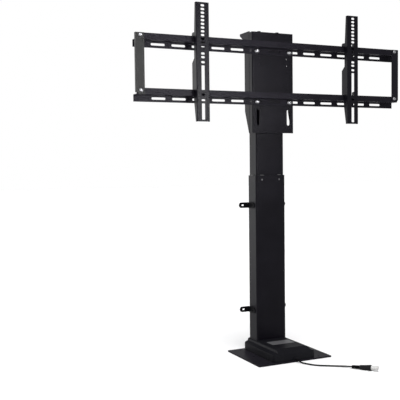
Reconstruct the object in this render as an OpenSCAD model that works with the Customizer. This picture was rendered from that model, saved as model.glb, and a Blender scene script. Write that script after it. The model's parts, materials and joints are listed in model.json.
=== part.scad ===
// Motorised column lift that raises a flat screen: base plate, geared column, head and screen arms.
// Frame: origin on the floor under the middle of the base plate, +Z up, the screen faces -Y.
// The stored pose is fully raised.

/* [Base plate] */
// Width of the base plate
plate_w = 320; // [300:1:360]
// Depth of the base plate
plate_d = 256; // [250:1:290]
// Thickness of the base plate
plate_t = 5; // [4:0.5:7]
// Corner radius of the base plate
plate_r = 2; // [1:0.5:10]
// Radius of the floor fixing holes
fix_hole_r = 4.5; // [3:0.25:6]
// Spacing of the fixing holes across the plate
fix_span_x = 224; // [205:1:270]
// Spacing of the fixing holes from front to back
fix_span_y = 220; // [190:1:225]

/* [Column] */
// Width of the fixed outer tube
col_w = 132; // [128:1:136]
// Depth of the fixed outer tube
col_d = 66; // [64:0.5:70]
// Length of the fixed outer tube
col_h = 700; // [640:5:800]
// Wall of the outer tube
col_wall = 1.5; // [1:0.25:2.5]
// Outside corner radius of the outer tube
col_r = 6.5; // [3:0.5:7]
// Distance from the plate's rear edge to the column
col_set = 9; // [6:0.2:14]
// Gap between the tubes at the sides
side_gap = 2.5; // [1.1:0.1:3.5]
// Gap between the tubes at front and back
face_gap = 2.5; // [1.5:0.1:3.5]
// Wall of the inner tube
inner_wall = 1.5; // [1:0.25:2.5]
// Length of inner tube that stays in the outer tube when raised
overlap = 90; // [86:1:130]
// Space kept under the inner tube when lowered
foot_clear = 80; // [72:1:120]
// Height of the head's top plate over the column's rim when lowered
stop_gap = 21.5; // [8:0.5:40]

/* [Glides] */
// Width of a glide pad
glide_w = 24; // [16:1:30]
// Height of a glide pad
glide_h = 40; // [25:1:42]
// Distance of the face glides from the column's middle
glide_x = 39; // [30:1:42]
// Height of the lip over the column's rim
glide_lip_h = 2.5; // [1.5:0.5:5]
// Width of the lip over the column's rim
glide_lip_w = 14; // [8:1:16]

/* [Fixing lugs] */
// Height of a lug
lug_h = 22; // [18:1:30]
// Sheet thickness of a lug
lug_t = 3; // [2:0.5:4]
// Reach of a lug beyond the column's side
lug_reach = 41; // [36:1:60]
// Length of the lug's leg along the column's side
lug_leg = 56; // [40:1:58]
// Distance of the lug's slot from its tip
lug_slot_in = 16; // [11:0.5:18]
// Length of the lug's slot
lug_slot_len = 11.5; // [9:0.5:15]
// Half width of the lug's slot
lug_slot_r = 3.25; // [2.5:0.25:4.25]
// Height of the lower lugs over the floor
lug_low_z = 166; // [110:1:300]
// Height of the upper lugs over the floor
lug_high_z = 586; // [400:1:630]

/* [Motor cover] */
// Width of the cover
cover_w = 184; // [178:1:196]
// Distance from the plate's front edge to the cover
cover_set = 6; // [5:0.5:11]
// Height of the cover
cover_h = 45.5; // [45:0.5:56]
// Wall of the cover
cover_t = 2.5; // [1.5:0.25:3]
// Height of the cover's side walls
cover_side_h = 27; // [22:0.5:30]
// Depth of the slope at the cover's front
cover_slope_d = 22; // [14:1:36]
// Radius of the edges above and below the slope
cover_edge_r = 6; // [2:0.5:8]
// Plan radius of the cover's corners
cover_corner_r = 16; // [8:0.5:17]
// Width of the blank rating plate
label_w = 98; // [60:1:110]
// Depth of the blank rating plate
label_d = 49; // [30:1:60]
// Thickness of the blank rating plate
label_t = 0.8; // [0.5:0.1:1.5]

/* [Drive] */
// Outside radius of the lead screw
screw_r = 9; // [8.75:0.25:10]
// Distance between two ridges of the lead screw
screw_pitch = 5; // [4:0.5:8]
// Number of teeth of the worm wheel
wheel_teeth = 20; // [18:1:22]
// Gear module of the worm and its wheel
gear_module = 1.6; // [1.4:0.1:1.8]
// Width of the worm wheel's teeth
wheel_face = 9; // [6:0.5:10]
// Pitch radius of the worm
worm_r = 8; // [7.5:0.25:9]
// Length of the worm's thread
worm_len = 18; // [14:1:32]
// Height of the worm's axis over the plate
worm_rise = 23; // [22.5:0.5:26]
// Radius of the worm shaft
shaft_r = 4; // [3:0.25:4.5]
// Radius of the motor
motor_r = 19; // [15:0.5:19.5]
// Length of the motor's can
motor_len = 95; // [80:1:110]

/* [Head] */
// Width of the head bracket
head_w = 184; // [160:1:200]
// Height of the head bracket
head_h = 389.5; // [370:0.5:430]
// Sheet thickness of the head bracket
head_t = 3; // [2:0.5:4]
// Distance from the column's front to the inside of the head plate
head_gap = 21.3; // [18:0.1:40]
// Bend radius at the corners of the head bracket
head_bend_r = 4.5; // [4:0.5:8]
// Depth of the left wing
left_wing_d = 63; // [50:1:75]
// Depth of the right wing
right_wing_d = 37; // [30:1:75]
// Height of the slanted cut at the foot of the wings
wing_cut_h = 88; // [40:1:120]
// Depth of the slanted cut on the left wing
left_cut_d = 32; // [10:1:40]
// Depth of the slanted cut on the right wing
right_cut_d = 24; // [10:1:28]
// Drop of the ears that carry the top plate's rear edge
ear_h = 29; // [15:1:36]
// How far the wings' ears stand above the top plate
ear_rise = 4.5; // [0.5:0.5:8]
// Reach of the top plate behind the column
top_reach = 10; // [2:0.2:20]
// Width of the cable slots in the head plate
cable_slot_w = 13; // [8:0.5:16]
// Gap between the cable slots and the lower rail
cable_slot_gap = 16.2; // [12:0.2:30]
// Distance of the cable slots from the middle
cable_slot_x = 68; // [60:0.5:72]
// Distance of the cable slots from the head's lower edge
cable_slot_rise = 30; // [20:1:34]

/* [Rails] */
// Length of the two rails
rail_len = 1158; // [1130:1:1300]
// Sheet thickness of the rails
rail_t = 2.5; // [1.5:0.25:3.5]
// Height of the rail's front lip
lip_h = 23.2; // [20:0.2:30]
// Height of the rail's slotted flange
flange_h = 23; // [20:0.5:30]
// Step from the slotted flange forward to the lip
rail_step = 35; // [30:0.5:50]
// Distance from the head's top down to the upper rail
rail_drop = 40.7; // [37:0.1:60]
// Distance between the two rails
rail_spacing = 194.4; // [170:0.1:220]
// Length of a rail slot
slot_len = 55; // [40:1:60]
// Height of a rail slot
slot_h = 8.5; // [8.5:0.5:12]
// Distance between two rail slots
slot_pitch = 81; // [78:1:83]
// Shift of the row of slots along the rail
slot_shift = 3.3; // [0:0.1:5]
// Height of the slots over the flange's lower edge
slot_rise = 13; // [11:0.5:14]
// Number of slots on each side of the middle
slots_a_side = 6; // [3:1:6]

/* [End straps] */
// Width of an end strap
strap_w = 33; // [28:1:40]
// Sheet thickness of an end strap
strap_t = 2.5; // [1.5:0.25:3.5]
// Depth of the strap's return edge
strap_return = 12; // [8:0.5:20]
// Cut at the strap's lower corner
strap_cut = 9; // [5:0.5:14]
// Distance of the strap's screws below the top of each rail
strap_screw_drop = 8.5; // [8:0.5:12]

/* [Screen arms] */
// Distance of each arm from the middle
arm_x = 332; // [150:1:480]
// Width of an arm
arm_w = 52; // [46:1:60]
// Sheet thickness of an arm
arm_t = 2; // [1.5:0.25:3]
// Height of an arm
arm_h = 430; // [425:1:460]
// Height of the arm's top over the upper rail
arm_rise = 118; // [100:1:130]
// Distance from the rail's lip forward to the arm's face
arm_standoff = 28; // [24:0.5:40]
// Depth of the arm's sides at their two ends
arm_end_d = 12; // [8:0.5:16]
// Depth of the arm's sides between hook and shoulder
arm_mid_d = 21; // [18:0.5:22]
// Width of the hooks behind the rail's lip
hook_w = 8; // [5:0.5:12]
// Rise of the hooks over the rail's lip
hook_rise = 12; // [8:0.5:18]
// Drop of the hooks behind the rail's lip
hook_drop = 12; // [8:0.5:16]
// Width of the screen bolt slots
bolt_slot_w = 15; // [12:0.5:20]
// Height of the screen bolt slots
bolt_slot_h = 8; // [7:0.5:11]
// Distance between two screen bolt slots
bolt_slot_pitch = 13.3; // [13:0.1:13.5]
// Number of screen bolt slots in the row
bolt_slots = 15; // [8:1:15]
// Distance of the first screen bolt slot from the arm's top
bolt_slot_top = 11.4; // [9:0.2:14]
// Width of the long slots
long_slot_w = 13; // [10:0.5:20]

/* [Cord] */
// Diameter of the motor lead
cord_d = 5.2; // [4:0.2:5.6]

/* [Hidden] */

$fn = 48;
fine = 96;
// Overlap of a cutting shape with what it cuts
cut = 1;
// Clearance of a screw in its hole
hole_play = 0.15;
// Clearance between pieces that slide or are slipped together
slip = 0.3;
// Running clearance of a shaft
run = 0.05;
black = "#26262a";
grey = "#48484c";
pale_grey = "#8c8c90";
zinc = "#c9ccd0";
steel = "#8e9196";
nylon = "#e9e7df";
brass = "#b5974a";

// Column places
col_y = plate_d / 2 - col_set - col_d / 2;
col_front = col_y - col_d / 2;
col_rear = col_y + col_d / 2;
col_top = plate_t + col_h;
stroke = col_h - overlap - foot_clear;
inner_w = col_w - 2 * (col_wall + side_gap);
inner_d = col_d - 2 * (col_wall + face_gap);
least_r = 0.5;
inner_r = max(col_r - col_wall, inner_wall + least_r);
inner_z = col_top - overlap;
inner_top = col_top + stop_gap + stroke;
inner_in_w = inner_w - 2 * inner_wall;
inner_in_d = inner_d - 2 * inner_wall;

// Glide and lug screws
glide_z = col_top - glide_h;
face_pad_t = face_gap - slip;
side_pad_t = side_gap - slip;
glide_screw_drop = 17;
glide_screw_z = col_top - glide_screw_drop;
glide_screw_r = 1.7;
glide_head_r = 3.6;
glide_head_h = 2.2;
lug_screw_r = 3;
lug_head_r = 6;
lug_head_h = 2.4;

// Head places
head_top = inner_top + head_t;
head_z = head_top - head_h;
head_y = col_front - head_gap - head_t;
top_rear = col_rear + top_reach;
ear_from = 24.5;
ear_drop = 3.5;
head_bolt_x = 41;
head_bolt_y = 19;
head_bolt_r = 4;
head_bolt_len = 20;
hex_r = 7.5;
hex_h = 7.8;
washer_r = 9;
washer_t = 1.6;
cap_h = 24;
bead_w = 2.5;
bead_t = 0.8;
bead_y = 23;
probe_hole_r = 1.8;
probe_x = 62;
probe_drop = 100;
probe_pitch = 26;

// Rail places, as depths along Y and heights along Z
rail_back = head_y;
lip_y = rail_back - rail_t - rail_step;
rail_h = lip_h + flange_h;
rail_top_high = head_top - rail_drop;
rail_top_low = rail_top_high - rail_spacing;
cable_slot_len = rail_top_low - rail_h - head_z - cable_slot_rise - cable_slot_gap;
rail_bolt_edge = 19.3;
rail_bolt_x = head_w / 2 - rail_bolt_edge;
rail_bolt_r = 4;
rail_bolt_flange_r = 10;
rail_bolt_flange_t = 2;
rail_bolt_head_r = 7;
rail_bolt_head_h = 4;
rail_nut_h = 6.5;
rail_bend_r = 3;

// Strap places
strap_end = rail_len / 2 + slip + strap_t;
strap_y = lip_y - strap_t;
strap_z = rail_top_low - lip_h;
strap_screw_in = 19;
strap_screw_x = strap_end - strap_screw_in;
strap_screw_r = 3;
strap_head_r = 7.6;
strap_head_h = 3.8;
strap_nut_r = 5.8;
strap_nut_h = 5;

// Arm places
arm_y = lip_y - arm_standoff;
arm_top = rail_top_high + arm_rise;
arm_z = arm_top - arm_h;
hook_play = 0.6;
arm_bend_r = 3;
shoulder_rise = 113;
shoulder_fall = 97;
last_slot_gap = 18;
long_slot_gap = 11.5;
long_slot_len = 91;
lock_hole_gap = 14;
lock_hole_pitch = 21;
foot_slot_gap = 11;
foot_slot_end = 6.9;
long_slot_r = 2.5;
slim_step = 3;
hook_chamfer = 3;
hook_relief = 4;
low_drop = 6;
low_step = 3;
hook_step = 2;

// Cover places
cover_front = -plate_d / 2 + cover_set;
cover_rear = col_rear + slip + cover_t;
cover_mid = (cover_front + cover_rear) / 2;
shoulder_w = 144;
shoulder_h = 33;
ridge_w = 140;
ridge_h = 41;
crown_w = 120;
boss_r = 5;
boss_in = 10;
boss_x = cover_w / 2 - boss_in;
boss_front_in = 20;
boss_rear_in = 15;
boss_ys = [cover_front + boss_front_in, col_front - boss_rear_in];
boss_bore = 14;
screw_bottom = 2;
pan_r = 4;
pan_h = 2.6;
tap_r = 1.9;
label_shift = 8.5;
label_r = 2;
label_y = (cover_front + cover_slope_d + col_front) / 2 + label_shift;

// Foot angles
foot_t = 3;
foot_leg = 18;
foot_rise = 22;
foot_len = 44;
foot_bolt_pitch = 28;
foot_bolt_r = 2.5;
foot_head_r = 4.6;
foot_head_h = 3;
foot_screw_rise = 17;
foot_screw_z = plate_t + foot_screw_rise;
foot_bolt_out = 11;
foot_bolt_x = col_w / 2 + foot_bolt_out;

// Drive places
wheel_r = wheel_teeth * gear_module / 2;
tooth_pitch = PI * gear_module;
worm_x = wheel_r + worm_r;
worm_z = plate_t + worm_rise;
mesh_play = 0.3;
worm_steps = 14;
tooth_share = 0.8;
tooth_root_half = 0.3;
tooth_tip_half = 0.07;
case_wall = 9;
case_flank = 14;
case_left = -(wheel_r + case_wall);
case_right = worm_x + worm_r + case_flank;
case_d = 48;
case_h = 38;
case_split = plate_t + case_h;
lid_t = 8;
case_top = case_split + lid_t;
case_screw_in = 5;
case_screw_r = 2.2;
case_head_r = 4;
case_head_h = 3;
gear_room = 1.4;
wheel_room = gear_module + gear_room;
snout_r = 13;
snout_out = 4;
motor_front = col_front - snout_out;
bush_r = 6;
bush_len = 4;
lower_journal_r = 6;
upper_journal_r = 8;
seat_r = 7;
bearing_r = 13;
bearing_h = 8;
bearing_floor = 2;
bearing_z = plate_t + bearing_floor;
bearing_groove = 2;
bearing_groove_t = 0.5;
screw_end_z = bearing_z + slip;
ridge_depth = 0.9;
thread_rise = 4;
thread_z = case_top + thread_rise;
ridge_marks = [0.2, 0.4, 0.7, 0.9];
screw_top = inner_z + overlap / 2;
stop_r = 17;
stop_h = 6;
stop_nut_h = 6;
stop_nut_r = 11.5;
end_cap_len = 12;
end_cap_step = 2;
end_cap_r = motor_r - end_cap_step;
saddle_len = 24;
saddle_back = 57;
saddle_y = motor_front - saddle_back;
saddle_side = 6;
saddle_w = 2 * (motor_r + saddle_side);
saddle_screw_out = 2;
saddle_screw_x = motor_r + saddle_screw_out;

// Nut and carrier
carrier_h = 18;
carrier_rise = 4;
carrier_z = inner_z + carrier_rise;
carrier_tap = 12;
nut_r = 15;
nut_flange_r = 21;
nut_flange_t = 5;
nut_up = 6;
nut_screw_pcd = 17.8;
nut_screw_r = 1.6;
nut_screw_head_r = 2.6;
nut_screw_head_h = 2;
nut_screw_turns = [45, 135, 225, 315];
carrier_head_r = 4;
carrier_screw_r = 2.5;
carrier_screw_len = 9;

// Lead: gland block, route and plug
gland_w = 14;
gland_h = 11;
gland_out = 4;
gland_in = 3;
gland_rim = 2;
cord_x = 0;
cord_rise = 3.4;
cord_z = plate_t + cord_rise;
cord_r = cord_d / 2;
cord_sides = 10;
cord_steps = 3;
gland_face = cover_front - gland_out;
plug_from = [135, -292.5, 6.2];
plug_heading = -52.4;
plug_tilt = 3.5;
plug_dir = [cos(plug_tilt) * cos(plug_heading), cos(plug_tilt) * sin(plug_heading), sin(plug_tilt)];
boot_len = 29;
boot_mouth_r = 5.2;
boot_r = 6.6;
plug_neck_r = 7.6;
plug_end_r = 10.3;
plug_len = 42;
tip_r = 7.4;
tip_len = 25;
tip_wall = 1.4;
pin_r = 1;
pin_x = 2.6;
pin_len = 17;
route = [[cord_x, gland_face, cord_z], [0.5, -132, 8.1], [2.5, -139, 6.7], [5, -147, 4.9], [8, -155, 3.6],
    [12.5, -166, 3], [20, -181, 3], [28.5, -196, 3], [40, -209.5, 3], [54.5, -221, 3], [71, -232, 3],
    [90, -245, 3], [107.5, -257.5, 3.3], [122, -273, 4.6], plug_from];
inner_route = [[worm_x, motor_front - motor_len - end_cap_len, worm_z], [worm_x, -70, 26],
    [18, -86, 19], [7, -98, 11], [cord_x, -107, cord_z], [cord_x, cover_front + cover_t + gland_in, cord_z]];

// Rounded rectangle about its middle
module round_rect(w, d, r) {
    square([w - 2 * r, d], center = true);
    square([w, d - 2 * r], center = true);
    for (sx = [-1, 1], sy = [-1, 1])
        translate([sx * (w / 2 - r), sy * (d / 2 - r)]) circle(r);
}

// Slot with round ends, lying along X
module slot_2d(len, h) {
    square([len - h, h], center = true);
    for (s = [-1, 1]) translate([s * (len - h) / 2, 0]) circle(h / 2);
}

// What is cut off to round a square corner at the origin
module corner_off(r) {
    difference() {
        translate([-cut, -cut]) square(r + cut);
        translate([r, r]) circle(r);
    }
}

// Extrude an outline given in Y and Z along X, about the middle
module along_x(len) rotate([90, 0, 90]) linear_extrude(len, center = true) children();

// Extrude an outline given in X and Z along Y, about the middle
module along_y(len) rotate([90, 0, 0]) linear_extrude(len, center = true) children();

// Round bar along +Y from the origin
module bar_y(r, len) rotate([-90, 0, 0]) cylinder(r = r, h = len);

// Round bar along +X from the origin
module bar_x(r, len) rotate([0, 90, 0]) cylinder(r = r, h = len);

// Domed screw head whose seat is at the origin and which rises along +Z
module dome_head(r, h) {
    rotate_extrude() intersection() {
        square([r, h]);
        translate([0, h - (r * r + h * h) / (2 * h)]) circle((r * r + h * h) / (2 * h), $fn = fine);
    }
}

module tube(w, d, r, wall, len) {
    linear_extrude(len) difference() {
        round_rect(w, d, r);
        round_rect(w - 2 * wall, d - 2 * wall, max(r - wall, least_r));
    }
}

// Base
module plate_holes() {
    for (sx = [-1, 1], sy = [-1, 0, 1])
        translate([sx * fix_span_x / 2, sy * fix_span_y / 2, -cut])
            cylinder(r = fix_hole_r, h = plate_t + 2 * cut);
    for (sx = [-1, 1], y = boss_ys) translate([sx * boss_x, y, 0]) pan_hole();
    for (sx = [-1, 1]) translate([worm_x + sx * saddle_screw_x, saddle_y, 0]) pan_hole();
    for (sx = [-1, 1], sy = [-1, 1])
        translate([sx * foot_bolt_x, col_y + sy * foot_bolt_pitch / 2, -cut])
            cylinder(r = foot_bolt_r + hole_play, h = plate_t + 2 * cut);
    for (p = case_screw_places()) translate([p[0], p[1], -cut])
        cylinder(r = case_screw_r + hole_play, h = plate_t + 2 * cut);
}

// Hole for a screw whose pan head is sunk in the plate's underside
module pan_hole() {
    translate([0, 0, -cut]) cylinder(r = tap_r + 2 * hole_play, h = plate_t + 2 * cut);
    translate([0, 0, -cut]) cylinder(r = pan_r + slip, h = pan_h + hole_play + cut);
}

// Screw that enters from the plate's underside and reaches len above the plate
module pan_screw(len) {
    translate([0, 0, hole_play]) cylinder(r = pan_r, h = pan_h);
    translate([0, 0, hole_play]) cylinder(r = tap_r, h = plate_t + len - hole_play);
}

module base_plate() {
    color(black) difference() {
        linear_extrude(plate_t) round_rect(plate_w, plate_d, plate_r);
        plate_holes();
    }
}

function case_screw_places() = [
    for (x = [case_left + case_screw_in, case_right - case_screw_in], sy = [-1, 1])
        [x, col_y + sy * (case_d / 2 - case_screw_in)]];

// Cover
module cover_section(inset) {
    low = inset > 0 ? -cut : 0;
    half = [[cover_w / 2 - inset, low], [cover_w / 2 - inset, cover_side_h - inset],
        [shoulder_w / 2 - inset, shoulder_h - inset], [ridge_w / 2 - inset, ridge_h - inset],
        [crown_w / 2 - inset, cover_h - inset]];
    last = len(half) - 1;
    polygon(concat(half, [for (i = [0 : last]) [-half[last - i][0], half[last - i][1]]]));
}

module cover_profile(inset) {
    low = inset > 0 ? -cut : 0;
    slope = atan2(cover_h - cover_side_h, cover_slope_d);
    front = cover_front + inset;
    rear = cover_rear - inset;
    top = cover_h - inset;
    brow = cover_side_h + inset * tan(slope) - inset / cos(slope);
    bend = front + (top - brow) / tan(slope);
    r = inset > 0 ? cover_edge_r / 2 : cover_edge_r;
    low_run = r * tan((90 - slope) / 2);
    high_run = r * tan(slope / 2);
    along = [cos(slope), sin(slope)];
    polygon([[front, low], [front, brow - low_run], [front, brow] + low_run * along,
        [bend, top] - high_run * along, [bend + high_run, top], [rear, top], [rear, low]]);
    translate([front + r, brow - low_run]) circle(r, $fn = fine);
    translate([bend + high_run, top - r]) circle(r, $fn = fine);
}

module cover_solid(inset) {
    translate([0, 0, plate_t]) intersection() {
        translate([0, cover_mid, 0]) along_y(cover_rear - cover_front - 2 * inset) cover_section(inset);
        along_x(cover_w - 2 * inset) cover_profile(inset);
        translate([0, cover_mid, -cut]) linear_extrude(cover_h + 2 * cut)
            round_rect(cover_w - 2 * inset, cover_rear - cover_front - 2 * inset, cover_corner_r - inset);
    }
}

module gland_hole() {
    translate([cord_x, cover_front + cover_t / 2, plate_t + gland_h / 2 - cut / 2])
        cube([gland_w + 2 * hole_play, cover_t + 2 * cut, gland_h + 2 * hole_play + cut], center = true);
}

module motor_cover() {
    color(black) difference() {
        union() {
            difference() {
                cover_solid(0);
                cover_solid(cover_t);
            }
            intersection() {
                cover_solid(0);
                for (sx = [-1, 1], y = boss_ys)
                    translate([sx * boss_x, y, plate_t]) cylinder(r = boss_r, h = cover_h);
            }
        }
        translate([0, col_y, 0]) linear_extrude(plate_t + cover_h + cut)
            round_rect(col_w + 2 * slip, col_d + 2 * slip, col_r + slip);
        for (sx = [-1, 1], y = boss_ys)
            translate([sx * boss_x, y, plate_t - cut]) cylinder(r = tap_r + hole_play, h = boss_bore + cut);
        gland_hole();
    }
}

module rating_plate() {
    color(pale_grey) translate([0, label_y, plate_t + cover_h])
        linear_extrude(label_t) round_rect(label_w, label_d, label_r);
}

module cover_screws() {
    color(zinc) for (sx = [-1, 1], y = boss_ys)
        translate([sx * boss_x, y, 0]) pan_screw(boss_bore - screw_bottom);
}

// Fixed column
module column_holes() {
    for (sy = [-1, 1], sx = [-1, 1])
        translate([sx * glide_x, col_y + sy * (col_d / 2 - col_wall - cut), glide_screw_z])
            rotate([-90 * sy, 0, 0]) cylinder(r = glide_screw_r + hole_play, h = col_wall + 2 * cut);
    for (sx = [-1, 1], z = [lug_low_z, lug_high_z]) translate([sx * (col_w / 2 - col_wall - cut), col_y, z])
        rotate([0, 90 * sx, 0]) cylinder(r = lug_screw_r + hole_play, h = col_wall + 2 * cut);
    for (sx = [-1, 1], sy = [-1, 1])
        translate([sx * (col_w / 2 - col_wall - cut), col_y + sy * foot_bolt_pitch / 2, foot_screw_z])
            rotate([0, 90 * sx, 0]) cylinder(r = foot_bolt_r + hole_play, h = col_wall + 2 * cut);
    translate([worm_x, col_front - cut, worm_z]) bar_y(snout_r + slip, col_wall + 2 * cut);
}

module outer_column() {
    color(black) difference() {
        translate([0, col_y, plate_t]) tube(col_w, col_d, col_r, col_wall, col_h);
        column_holes();
    }
}

// Angle that ties the column's side to the base plate; side is -1 for the left one
module foot_angle(side) {
    color(black) difference() {
        translate([side * col_w / 2, col_y, plate_t]) mirror([side < 0 ? 1 : 0, 0, 0])
            along_y(foot_len) difference() {
                square([foot_leg, foot_rise]);
                translate([foot_t, foot_t]) square([foot_leg, foot_rise]);
            }
        for (sy = [-1, 1]) {
            translate([side * foot_bolt_x, col_y + sy * foot_bolt_pitch / 2, 0])
                cylinder(r = foot_bolt_r + hole_play, h = plate_t + foot_t + cut);
            translate([side * (col_w / 2 - cut), col_y + sy * foot_bolt_pitch / 2, foot_screw_z])
                rotate([0, 90 * side, 0]) cylinder(r = foot_bolt_r + hole_play, h = foot_t + 2 * cut);
        }
    }
}

module foot_angle_left() foot_angle(-1);
module foot_angle_right() foot_angle(1);

module foot_bolts() {
    color(zinc) for (sx = [-1, 1], sy = [-1, 1])
        translate([sx * foot_bolt_x, col_y + sy * foot_bolt_pitch / 2, 0]) {
            translate([0, 0, slip]) cylinder(r = foot_bolt_r, h = plate_t + foot_t);
            translate([0, 0, plate_t + foot_t]) cylinder(r = foot_head_r, h = foot_head_h);
        }
}

module foot_screws() {
    color(zinc) for (sx = [-1, 1], sy = [-1, 1])
        translate([sx * (col_w / 2 + foot_t), col_y + sy * foot_bolt_pitch / 2, foot_screw_z])
            rotate([0, 90 * sx, 0]) {
                cylinder(r = foot_head_r, h = foot_head_h);
                translate([0, 0, -foot_t - col_wall]) cylinder(r = foot_bolt_r, h = foot_t + col_wall + cut);
            }
}

// Drive
module case_block(z0, z1) {
    translate([case_left, col_y - case_d / 2, z0]) cube([case_right - case_left, case_d, z1 - z0]);
}

module case_screw_holes() {
    for (p = case_screw_places()) translate([p[0], p[1], 0])
        cylinder(r = case_screw_r + hole_play, h = case_top + cut);
}

module gear_case() {
    color(steel) difference() {
        union() {
            case_block(plate_t, case_split);
            translate([worm_x, motor_front, worm_z]) bar_y(snout_r, case_d / 2);
        }
        translate([0, col_y, bearing_z]) cylinder(r = bearing_r + run, h = case_split);
        translate([0, col_y, bearing_z + bearing_h + cut])
            cylinder(r = wheel_r + wheel_room, h = case_split - bearing_z - bearing_h);
        translate([worm_x, col_y - case_d / 2 + bush_len, worm_z])
            bar_y(worm_r + wheel_room, case_d - 2 * bush_len);
        translate([worm_x, motor_front - cut, worm_z]) bar_y(bush_r + run, col_y + case_d - motor_front);
        case_screw_holes();
    }
}

module gear_case_lid() {
    color(steel) difference() {
        case_block(case_split, case_top);
        translate([0, col_y, case_split - cut]) cylinder(r = bearing_r + run, h = lid_t + 2 * cut);
        case_screw_holes();
    }
}

module case_screws() {
    color(zinc) for (p = case_screw_places()) translate([p[0], p[1], 0]) {
        translate([0, 0, slip]) cylinder(r = case_screw_r, h = case_top);
        translate([0, 0, case_top]) cylinder(r = case_head_r, h = case_head_h);
    }
}

module bearing(z, bore_r) {
    translate([0, col_y, z]) rotate_extrude() difference() {
        translate([bore_r + run, 0]) square([bearing_r - bore_r - run, bearing_h]);
        for (s = [0, 1]) translate([(bearing_r + bore_r) / 2, s * bearing_h])
            square([bearing_groove, 2 * bearing_groove_t], center = true);
    }
}

module lower_bearing() color(steel) bearing(bearing_z, lower_journal_r);
module upper_bearing() color(steel) bearing(case_split, upper_journal_r);

module worm_bushes() {
    color(brass) for (y = [motor_front + bush_len, col_y + case_d / 2 - bush_len])
        translate([worm_x, y, worm_z]) difference() {
            bar_y(bush_r, bush_len);
            translate([0, -cut, 0]) bar_y(shaft_r + run, bush_len + 2 * cut);
        }
}

module motor() {
    color(steel) translate([worm_x, motor_front - motor_len, worm_z]) difference() {
        bar_y(motor_r, motor_len);
        translate([0, motor_len - shaft_in(), 0]) bar_y(shaft_r + slip, shaft_in() + cut);
    }
}

function shaft_in() = motor_len / 4;

module motor_end_cap() {
    color(black) translate([worm_x, motor_front - motor_len - end_cap_len, worm_z])
        bar_y(end_cap_r, end_cap_len);
}

module motor_saddle() {
    color(grey) difference() {
        translate([worm_x - saddle_w / 2, saddle_y - saddle_len / 2, plate_t])
            cube([saddle_w, saddle_len, worm_rise - cut]);
        translate([worm_x, saddle_y - saddle_len, worm_z]) bar_y(motor_r + hole_play, 2 * saddle_len);
        for (sx = [-1, 1]) translate([worm_x + sx * saddle_screw_x, saddle_y, 0])
            cylinder(r = tap_r + hole_play, h = plate_t + boss_bore);
    }
}

module saddle_screws() {
    color(zinc) for (sx = [-1, 1])
        translate([worm_x + sx * saddle_screw_x, saddle_y, 0]) pan_screw(boss_bore - screw_bottom);
}

// Screw: lower journal, wheel seat, upper journal, then a row of ridges
module lead_screw() {
    root = screw_r - ridge_depth;
    seat_z = bearing_z + bearing_h + slip;
    journals = [[0, screw_end_z], [lower_journal_r, screw_end_z], [lower_journal_r, seat_z], [seat_r, seat_z],
        [seat_r, case_split - slip], [upper_journal_r, case_split - slip],
        [upper_journal_r, case_top + slip], [root, thread_z]];
    thread = [for (i = [0 : ridges() - 1]) let (z = thread_z + i * screw_pitch)
        each [[root, z + screw_pitch * ridge_marks[0]], [screw_r, z + screw_pitch * ridge_marks[1]],
            [screw_r, z + screw_pitch * ridge_marks[2]], [root, z + screw_pitch * ridge_marks[3]]]];
    tail = [[root, thread_end()], [seat_r, thread_end()], [seat_r, screw_top], [0, screw_top]];
    color(steel) translate([0, col_y, 0]) rotate_extrude() polygon(concat(journals, thread, tail));
}

function ridges() = floor((screw_top - stop_nut_h - stop_h - thread_z) / screw_pitch);
function thread_end() = thread_z + screw_pitch * ridges();

module worm_wheel() {
    tip = wheel_r + gear_module * tooth_share;
    root = wheel_r - gear_module;
    step = 360 / wheel_teeth;
    outline = [for (i = [0 : wheel_teeth - 1]) let (a = i * step)
        each [polar(root, a - step * tooth_root_half), polar(tip, a - step * tooth_tip_half),
            polar(tip, a + step * tooth_tip_half), polar(root, a + step * tooth_root_half)]];
    color(brass) translate([0, col_y, worm_z - wheel_face / 2]) difference() {
        linear_extrude(wheel_face) polygon(outline);
        translate([0, 0, -cut]) cylinder(r = seat_r + run, h = wheel_face + 2 * cut);
    }
}

function polar(r, a) = [r * cos(a), r * sin(a)];

module screw_stop() {
    color(black) translate([0, col_y, thread_end()]) difference() {
        union() {
            cylinder(r = stop_r, h = stop_h);
            translate([0, 0, stop_h]) cylinder(r = stop_nut_r, h = stop_nut_h - cut, $fn = 6);
        }
        translate([0, 0, -cut]) cylinder(r = seat_r + run, h = stop_h + stop_nut_h + 2 * cut);
    }
}

// Single start worm: an off-centre circle wound along the axis
module worm_shaft() {
    turns = worm_len / tooth_pitch;
    throw = gear_module * tooth_share;
    shaft_from = motor_front - shaft_in() + slip;
    color(steel) translate([worm_x, 0, worm_z]) {
        translate([0, col_y, 0]) rotate([-90, 0, 0])
            translate([0, 0, -worm_len / 2]) rotate(180 * turns)
                linear_extrude(worm_len, twist = 360 * turns, slices = ceil(worm_steps * turns))
                    translate([throw, 0]) circle(worm_r - throw - mesh_play, $fn = worm_steps);
        translate([0, shaft_from, 0]) bar_y(shaft_r, col_y + case_d / 2 - slip - shaft_from);
    }
}

// Lead
module lead_gland() {
    color(black) translate([cord_x, 0, plate_t]) {
        translate([-gland_w / 2, gland_face, 0]) cube([gland_w, cover_t + gland_in + gland_out, gland_h]);
        translate([-gland_w / 2 - gland_rim, cover_front + cover_t + hole_play, 0])
            cube([gland_w + 2 * gland_rim, gland_in - hole_play, gland_h + gland_rim]);
    }
}

function unit(v) = v / norm(v);
function on_curve(p, i, t) =
    let (n = len(p) - 1, a = p[max(i - 1, 0)], b = p[i], c = p[i + 1], d = p[min(i + 2, n)])
    0.5 * (2 * b + (c - a) * t + (2 * a - 5 * b + 4 * c - d) * t * t + (3 * b - a - 3 * c + d) * t * t * t);
function smooth_path(p) = concat(
    [for (i = [0 : len(p) - 2], k = [0 : cord_steps - 1]) on_curve(p, i, k / cord_steps)], [p[len(p) - 1]]);

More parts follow.
